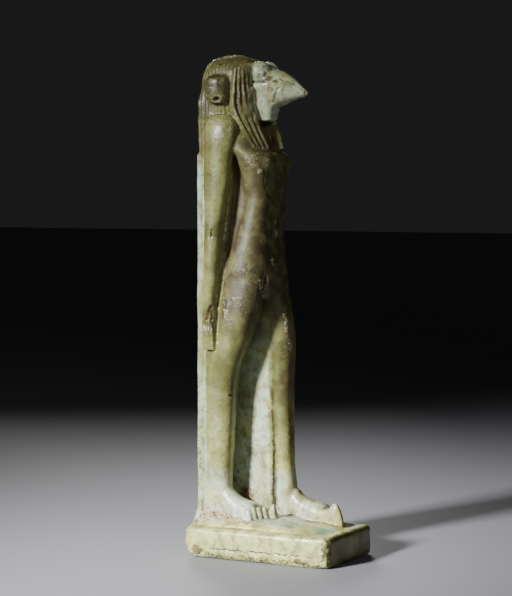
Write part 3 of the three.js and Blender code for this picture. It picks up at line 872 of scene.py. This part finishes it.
# The worn and carved places keep their fine points
fine_marks = np.maximum.reduce([scratched, masks["dark"], masks["crust"], masks["rust"]])
kept = body.vertex_groups.new(name="fine_marks")
kept.add(np.flatnonzero(fine_marks > 0.25).tolist(), 0.6, "REPLACE")
thin.vertex_group = "fine_marks"
thin.invert_vertex_group = True
settle(body)
body.vertex_groups.clear()

# Masks for the glaze, worked out again on the thinned surface
place = points_of(body.data)
normal = normals_of(body.data)
x, y, z = place.T
_, scratched = carving(place, normal)
_, masks = damage(place)
masks["dark"] = np.maximum(masks["dark"], scratched)
hollow = hollowness(body.data, 5)
# Hollows are tinted dark brown further down, partly earth in the corners and partly painted shade
masks["hollow"] = hollow / 0.10
masks["edge"] = (-hollow - 0.03) / 0.12

# Olive where the glaze is thin and stained, more so the higher up, where it is partly painted shade for
# the light falling off towards the top; brown on the trunk, the wig and the far leg, a darker band over
# the front of the hips; bluish where the glaze is thick and clean
part_way = (z - SOLE_Z) / share(1000)
arm_front = np.interp(part_way, [0.37, 0.54, 0.61, 0.69, 0.83], [32, 34, 50, 61, 86])
arms = (np.abs(x) > share(60)) * (y > forward(arm_front)) * (z > level(366)) * (z < level(866))
head = (1 - fade(z, level(852), level(862))) * fade(y, forward(92), forward(84))
head *= np.abs(x) < share(41)
# Olive rises with height: partly the glaze's own stain, partly painted shade for the light falling off
# towards the top
olive = np.interp(part_way, [0.03, 0.12, 0.3, 0.38], [0, 0.5, 0.95, 1.0])
olive *= 1 - 0.1 * arms
olive = np.where(head > 0, olive * (1 - head) + 0.24 * head, olive)
strip = (np.abs(x) > share(61)) * (y > PILLAR_FRONT - 0.3) * (z < level(785)) * (z > PLINTH_HEIGHT + 1)
olive *= 1 - 0.6 * strip
web = (x > 0) * (x < share(12)) * (y > forward(112)) * (z < level(440))
olive *= 1 - 0.7 * web
feet = fade(z, level(90), level(130)) * (1 - fade(z, PLINTH_HEIGHT + 0.6, PLINTH_HEIGHT + 1.6))
# The plinth's front end, turned away from the lamp, gets the full olive as painted shade
olive = np.where(z < PLINTH_HEIGHT, 1 - fade(-y, half_l - 1.2, half_l - 0.4), olive)
masks["olive"] = olive
trunk_part = (1 - fade(part_way, 0.33, 0.47)) * fade(part_way, 0.8, 0.84) * (1 - arms)
masks["brown"] = np.maximum(trunk_part * (y < forward(44)), 0.5 * (part_way > 0.87) * (1 - head))
far_leg = (x > share(14)) * (1 - fade(part_way, 0.16, 0.3)) * fade(part_way, 0.4, 0.5)
masks["brown"] = np.maximum(masks["brown"], 0.7 * far_leg * (y < forward(40)))
# A band across the front of the hips, below the arms, is darkened further with umber
masks["deep"] = (1 - fade(part_way, 0.4, 0.5)) * fade(part_way, 0.6, 0.72) * (1 - arms)
masks["deep"] *= (y < forward(44)) * (1 - fade(part_way, 0.3, 0.4))
masks["rust"] = np.maximum(masks["rust"], 0.35 * (z < 1.6) * (z > 0))
masks["blue"] = np.maximum(np.maximum(head, 0.9 * strip), np.maximum(0.75 * feet, 0.8 * web))
for name, values in masks.items():
    layer = body.data.attributes.new(name, "FLOAT", "POINT")
    layer.data.foreach_set("value", np.clip(values, 0, 1).astype(np.float32))
move_to(body.data, place * MM)
body.data.shade_smooth()

# Glaze.
# Pale green faience glaze, glossy where the glass is whole: creamy on the plinth, bluish on the
# pillar, feet and bill, and stained a blotchy olive brown on the trunk, the arms and the wig. The olive
# deepens upwards partly as painted shade, and the plinth's front end is olive as painted shade.

glaze = bpy.data.materials.new("faience_glaze")
glaze.use_nodes = True
nodes, links = glaze.node_tree.nodes, glaze.node_tree.links
shader = nodes["Principled BSDF"]
coords = nodes.new("ShaderNodeTexCoord")


def speckle(scale, detail, low, high, squeeze=(1, 1, 1)):
    """Noise over the object, stretched so that it runs from 0 at low to 1 at high."""
    mapping = nodes.new("ShaderNodeMapping")
    mapping.inputs["Scale"].default_value = squeeze
    links.new(coords.outputs["Object"], mapping.inputs["Vector"])
    texture = nodes.new("ShaderNodeTexNoise")
    texture.inputs["Scale"].default_value = scale
    texture.inputs["Detail"].default_value = detail
    links.new(mapping.outputs["Vector"], texture.inputs["Vector"])
    reach = nodes.new("ShaderNodeMapRange")
    reach.inputs["From Min"].default_value = low
    reach.inputs["From Max"].default_value = high
    links.new(texture.outputs["Fac"], reach.inputs["Value"])
    return reach.outputs["Result"]


def reckon(operation, first, second):
    """The result of a sum of two values, kept between 0 and 1."""
    node = nodes.new("ShaderNodeMath")
    node.operation = operation
    node.use_clamp = True
    for socket, value in zip(node.inputs, (first, second)):
        if isinstance(value, (int, float)):
            socket.default_value = value
        else:
            links.new(value, socket)
    return node.outputs[0]


def mask(name):
    """One of the masks worked out on the surface."""
    layer = nodes.new("ShaderNodeAttribute")
    layer.attribute_name = name
    return layer.outputs["Fac"]


def blotchy(name, texture, bite=0.6, edge=0.4):
    """A mask whose border is eaten into by a texture: (mask - bite * texture) / edge."""
    return reckon("DIVIDE", reckon("SUBTRACT", mask(name), reckon("MULTIPLY", texture, bite)), edge)


def tinted(under, amount, colour, strength=1.0):
    """The colour below, covered by another one by the given amount."""
    mix = nodes.new("ShaderNodeMix")
    mix.data_type = "RGBA"
    links.new(reckon("MULTIPLY", amount, strength), mix.inputs["Factor"])
    if isinstance(under, tuple):
        mix.inputs["A"].default_value = (*under, 1)
    else:
        links.new(under, mix.inputs["A"])
    mix.inputs["B"].default_value = (*colour, 1)
    return mix.outputs["Result"]


CREAM, BLUISH, LEAF = (0.47, 0.50, 0.19), (0.42, 0.50, 0.37), (0.25, 0.32, 0.11)
OCHRE, OLIVE, BROWN = (0.30, 0.23, 0.06), (0.078, 0.084, 0.021), (0.06, 0.046, 0.016)
UMBER, MOSS, EARTH = (0.038, 0.031, 0.012), (0.15, 0.15, 0.05), (0.10, 0.07, 0.022)
PEPPER, WORN_PASTE, PALE_WEAR_AND_GLINT = (0.05, 0.03, 0.012), (0.60, 0.57, 0.38), (0.66, 0.61, 0.44)
HOLLOW_EARTH_AND_SHADE, TURQUOISE, RUST = (0.09, 0.05, 0.02), (0.06, 0.24, 0.15), (0.062, 0.034, 0.012)
CRUST, CRUST_PITS, SOOT = (0.31, 0.22, 0.11), (0.06, 0.025, 0.012), (0.02, 0.014, 0.007)

cloud = speckle(160, 5, 0.36, 0.64)
grit = speckle(2200, 3, 0.38, 0.62)
streak = speckle(260, 4, 0.46, 0.7, (1, 1, 0.16))
paint = tinted(CREAM, blotchy("blue", cloud), BLUISH)
paint = tinted(paint, speckle(70, 3, 0.45, 0.7), LEAF, 0.8)
paint = tinted(paint, streak, OCHRE, 0.65)
# Olive, partly stain and partly painted shade: darker higher up, and over the whole front end of the
# plinth
paint = tinted(paint, blotchy("olive", cloud, 0.4, 0.85), OLIVE, 0.97)
paint = tinted(paint, blotchy("brown", cloud, 0.4, 0.85), BROWN, 0.95)
paint = tinted(paint, blotchy("deep", cloud, 0.5, 0.7), UMBER, 0.72)
paint = tinted(paint, speckle(380, 6, 0.46, 0.64), MOSS, 0.6)
paint = tinted(paint, speckle(800, 6, 0.53, 0.68), EARTH, 0.45)
paint = tinted(paint, speckle(1500, 4, 0.6, 0.7), PEPPER, 0.4)
paint = tinted(paint, blotchy("edge", grit, 0.75, 0.5), WORN_PASTE, 0.4)
# Pale worn edges and spots; on the chest and belly partly painted glints
pale_wear_and_glint = reckon("MULTIPLY", blotchy("pale", grit, 0.75, 0.4), speckle(1300, 4, 0.42, 0.56))
paint = tinted(paint, pale_wear_and_glint, PALE_WEAR_AND_GLINT, 0.6)
# Dark brown in the hollows: partly earth, partly painted shade in the creases
paint = tinted(paint, blotchy("hollow", grit, 0.5, 0.6), HOLLOW_EARTH_AND_SHADE, 0.75)
patchy = blotchy("turquoise", speckle(600, 5, 0.4, 0.6), 0.8, 0.3)
paint = tinted(paint, patchy, TURQUOISE, 0.7)
paint = tinted(paint, blotchy("rust", grit, 0.5, 0.35), RUST, 0.8)
paint = tinted(paint, blotchy("crust", grit, 0.35, 0.4), CRUST, 0.85)
crust_holes = reckon("MULTIPLY", mask("crust"), speckle(1700, 3, 0.48, 0.56))
paint = tinted(paint, crust_holes, CRUST_PITS, 0.9)
paint = tinted(paint, blotchy("dark", grit, 0.4, 0.5), SOOT, 0.85)
links.new(paint, shader.inputs["Base Color"])

# Glossy glaze, matt crust and worn edges
rough = nodes.new("ShaderNodeMapRange")
rough.inputs["To Min"].default_value = 0.24
rough.inputs["To Max"].default_value = 0.85
matt = reckon("MAXIMUM", mask("crust"), reckon("MULTIPLY", mask("pale"), 0.6))
matt = reckon("MAXIMUM", matt, reckon("MULTIPLY", mask("brown"), 0.5))
matt = reckon("MAXIMUM", matt, reckon("MULTIPLY", speckle(300, 5, 0.35, 0.7), 0.4))
links.new(matt, rough.inputs["Value"])
links.new(rough.outputs["Result"], shader.inputs["Roughness"])
grain = nodes.new("ShaderNodeTexNoise")
grain.inputs["Scale"].default_value = 1500
grain.inputs["Detail"].default_value = 5
links.new(coords.outputs["Object"], grain.inputs["Vector"])
bump = nodes.new("ShaderNodeBump")
bump.inputs["Strength"].default_value = 0.35
bump.inputs["Distance"].default_value = 0.0002
links.new(grain.outputs["Fac"], bump.inputs["Height"])
links.new(bump.outputs["Normal"], shader.inputs["Normal"])

body.data.materials.clear()
body.data.materials.append(glaze)
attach(body, "root")
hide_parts("faience_amulet")

# Floor.
# A plain pale table top for the picture, not part of the amulet.

FLOOR_REACH = 3.0
corners = [(i * FLOOR_REACH, j * FLOOR_REACH, 0) for i, j in ((-1, -1), (1, -1), (1, 1), (-1, 1))]
floor_mesh = bpy.data.meshes.new("floor")
floor_mesh.from_pydata(corners, [], [(0, 1, 2, 3)])
floor = bpy.data.objects.new("floor", floor_mesh)
bpy.context.collection.objects.link(floor)
paper = bpy.data.materials.new("pale_paper")
paper.use_nodes = True
paper_shader = paper.node_tree.nodes["Principled BSDF"]
paper_shader.inputs["Base Color"].default_value = (0.21, 0.21, 0.23, 1)
paper_shader.inputs["Roughness"].default_value = 0.7
floor_mesh.materials.append(paper)

# Light.
# One soft lamp on the left, a little behind and above the amulet and aimed at its plinth, a weak
# fill from the front, another one from behind for the far sides, and a dim grey room.

from mathutils import Matrix, Vector


def soft_lamp(name, place, aim, width, power, spread):
    """Square area lamp at a place in metres, turned so that its face looks at aim.

    The power is in watts, and the spread is the full angle of its beam in degrees.
    """
    lamp = bpy.data.lights.new(name, "AREA")
    lamp.size = width
    lamp.energy = power
    lamp.spread = np.radians(spread)
    holder = bpy.data.objects.new(name, lamp)
    bpy.context.collection.objects.link(holder)
    holder.matrix_world = Matrix.Translation(place) @ (
        (Vector(aim) - Vector(place)).to_track_quat("-Z", "Y").to_matrix().to_4x4()
    )


soft_lamp("key", (-0.575, 0.187, 0.28), (0, 0, -0.015), 0.09, 0.43, 27)
soft_lamp("fill", (-0.33, -0.5, 0.33), (0, 0, 0.085), 0.16, 0.028, 34)
soft_lamp("back", (0.42, 0.3, 0.2), (0, 0, 0.06), 0.2, 0.06, 24)
room = bpy.data.worlds.new("room")
room.use_nodes = True
room_light = room.node_tree.nodes["Background"]
room_light.inputs["Color"].default_value = (0.75, 0.77, 0.8, 1)
room_light.inputs["Strength"].default_value = 0.018
bpy.context.scene.world = room

# Camera.
# It stands to the amulet's right front, a little above its middle, as the photographer did.

AZIMUTH, PITCH, DISTANCE = np.radians(-62.0), np.radians(3.25), 0.480
AIM_ASIDE, AIM_HEIGHT = -0.00535, 0.062
FOCAL_PIXELS, FRAME_HEIGHT, SENSOR_HEIGHT = 2006, 596, 36
level_part = np.cos(PITCH)
back = np.array([np.sin(AZIMUTH) * level_part, -np.cos(AZIMUTH) * level_part, np.sin(PITCH)])
aside = np.array([np.cos(AZIMUTH), np.sin(AZIMUTH), 0.0])
aim = aside * AIM_ASIDE + np.array([0, 0, AIM_HEIGHT])
above = np.cross(back, aside)
lens = bpy.data.cameras.new("camera")
lens.sensor_fit = "VERTICAL"
lens.sensor_height = SENSOR_HEIGHT
lens.lens = FOCAL_PIXELS * SENSOR_HEIGHT / FRAME_HEIGHT
lens.clip_start = 0.01
camera = bpy.data.objects.new("camera", lens)
bpy.context.collection.objects.link(camera)
turned = np.eye(4)
turned[:3, 0], turned[:3, 1], turned[:3, 2] = aside, above, back
turned[:3, 3] = aim + back * DISTANCE
camera.matrix_world = Matrix(turned.tolist())
bpy.context.scene.camera = camera
